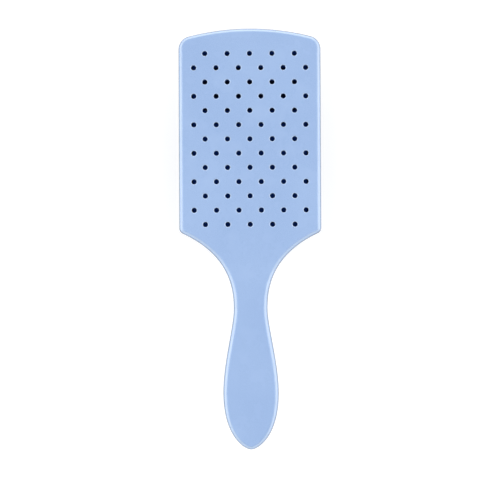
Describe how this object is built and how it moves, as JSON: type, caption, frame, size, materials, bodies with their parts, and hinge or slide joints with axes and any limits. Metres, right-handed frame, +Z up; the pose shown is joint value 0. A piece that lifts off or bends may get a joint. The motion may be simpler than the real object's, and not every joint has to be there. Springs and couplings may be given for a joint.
{
  "type": "vented paddle hairbrush",
  "caption": "Flat paddle hairbrush with a vented back, a slim waisted handle and ball-tipped pins in a springy rubber cushion.",
  "frame": {"origin": "on the ground the pin tips stand on, under the middle of the brush's length and width", "axes": "+X across the head, +Y from the handle to the head, +Z up, from the pin tips to the flat back"},
  "size_m": [0.0844, 0.25, 0.036],
  "materials": {
    "shell_plastic": "glossy pale blue moulded plastic",
    "retainer_plastic": "plain dark moulded plastic, inside the head",
    "cushion_rubber": "matte dark navy rubber",
    "pin_nylon": "satin dark navy nylon with smooth ball tips"
  },
  "bodies": {
    "brush": {"back_shell": "shell_plastic", "front_shell": "shell_plastic", "cushion_retainer": "retainer_plastic"},
    "pad": {"cushion": "cushion_rubber"},
    "pins_01": {"pin_row_01": "pin_nylon"},
    "pins_02": {"pin_row_02": "pin_nylon"},
    "pins_03": {"pin_row_03": "pin_nylon"},
    "pins_04": {"pin_row_04": "pin_nylon"},
    "pins_05": {"pin_row_05": "pin_nylon"},
    "pins_06": {"pin_row_06": "pin_nylon"},
    "pins_07": {"pin_row_07": "pin_nylon"},
    "pins_08": {"pin_row_08": "pin_nylon"},
    "pins_09": {"pin_row_09": "pin_nylon"},
    "pins_10": {"pin_row_10": "pin_nylon"},
    "pins_11": {"pin_row_11": "pin_nylon"},
    "pins_12": {"pin_row_12": "pin_nylon"},
    "pins_13": {"pin_row_13": "pin_nylon"}
  },
  "joints": [
    {"name": "pad_press", "type": "slide", "parent": "brush", "child": "pad", "axis": [0, 0, 1], "range_m": [0, 0.003], "stiffness_N_per_m": 2500, "deforming": ["cushion"]},
    {"name": "pin_row_01_lean", "type": "hinge", "parent": "pad", "child": "pins_01", "pos_m": [0, 0.0149, 0.019], "axis": [1, 0, 0], "range_deg": [-12, 12], "stiffness_Nm_per_rad": 0.15},
    {"name": "pin_row_02_lean", "type": "hinge", "parent": "pad", "child": "pins_02", "pos_m": [0, 0.02284, 0.019], "axis": [1, 0, 0], "range_deg": [-12, 12], "stiffness_Nm_per_rad": 0.15},
    {"name": "pin_row_03_lean", "type": "hinge", "parent": "pad", "child": "pins_03", "pos_m": [0, 0.03078, 0.019], "axis": [1, 0, 0], "range_deg": [-12, 12], "stiffness_Nm_per_rad": 0.15},
    {"name": "pin_row_04_lean", "type": "hinge", "parent": "pad", "child": "pins_04", "pos_m": [0, 0.03871, 0.019], "axis": [1, 0, 0], "range_deg": [-12, 12], "stiffness_Nm_per_rad": 0.15},
    {"name": "pin_row_05_lean", "type": "hinge", "parent": "pad", "child": "pins_05", "pos_m": [0, 0.04665, 0.019], "axis": [1, 0, 0], "range_deg": [-12, 12], "stiffness_Nm_per_rad": 0.15},
    {"name": "pin_row_06_lean", "type": "hinge", "parent": "pad", "child": "pins_06", "pos_m": [0, 0.05459, 0.019], "axis": [1, 0, 0], "range_deg": [-12, 12], "stiffness_Nm_per_rad": 0.15},
    {"name": "pin_row_07_lean", "type": "hinge", "parent": "pad", "child": "pins_07", "pos_m": [0, 0.06253, 0.019], "axis": [1, 0, 0], "range_deg": [-12, 12], "stiffness_Nm_per_rad": 0.15},
    {"name": "pin_row_08_lean", "type": "hinge", "parent": "pad", "child": "pins_08", "pos_m": [0, 0.07047, 0.019], "axis": [1, 0, 0], "range_deg": [-12, 12], "stiffness_Nm_per_rad": 0.15},
    {"name": "pin_row_09_lean", "type": "hinge", "parent": "pad", "child": "pins_09", "pos_m": [0, 0.0784, 0.019], "axis": [1, 0, 0], "range_deg": [-12, 12], "stiffness_Nm_per_rad": 0.15},
    {"name": "pin_row_10_lean", "type": "hinge", "parent": "pad", "child": "pins_10", "pos_m": [0, 0.08634, 0.019], "axis": [1, 0, 0], "range_deg": [-12, 12], "stiffness_Nm_per_rad": 0.15},
    {"name": "pin_row_11_lean", "type": "hinge", "parent": "pad", "child": "pins_11", "pos_m": [0, 0.09428, 0.019], "axis": [1, 0, 0], "range_deg": [-12, 12], "stiffness_Nm_per_rad": 0.15},
    {"name": "pin_row_12_lean", "type": "hinge", "parent": "pad", "child": "pins_12", "pos_m": [0, 0.10222, 0.019], "axis": [1, 0, 0], "range_deg": [-12, 12], "stiffness_Nm_per_rad": 0.15},
    {"name": "pin_row_13_lean", "type": "hinge", "parent": "pad", "child": "pins_13", "pos_m": [0, 0.11016, 0.019], "axis": [1, 0, 0], "range_deg": [-12, 12], "stiffness_Nm_per_rad": 0.15}
  ],
  "couplings": [
    {"joint": "pin_row_01_lean", "follows": "pin_row_06_lean", "ratio": 1},
    {"joint": "pin_row_02_lean", "follows": "pin_row_06_lean", "ratio": 1},
    {"joint": "pin_row_03_lean", "follows": "pin_row_06_lean", "ratio": 1},
    {"joint": "pin_row_04_lean", "follows": "pin_row_06_lean", "ratio": 1},
    {"joint": "pin_row_05_lean", "follows": "pin_row_06_lean", "ratio": 1},
    {"joint": "pin_row_07_lean", "follows": "pin_row_06_lean", "ratio": 1},
    {"joint": "pin_row_08_lean", "follows": "pin_row_06_lean", "ratio": 1},
    {"joint": "pin_row_09_lean", "follows": "pin_row_06_lean", "ratio": 1},
    {"joint": "pin_row_10_lean", "follows": "pin_row_06_lean", "ratio": 1},
    {"joint": "pin_row_11_lean", "follows": "pin_row_06_lean", "ratio": 1},
    {"joint": "pin_row_12_lean", "follows": "pin_row_06_lean", "ratio": 1},
    {"joint": "pin_row_13_lean", "follows": "pin_row_06_lean", "ratio": 1}
  ]
}
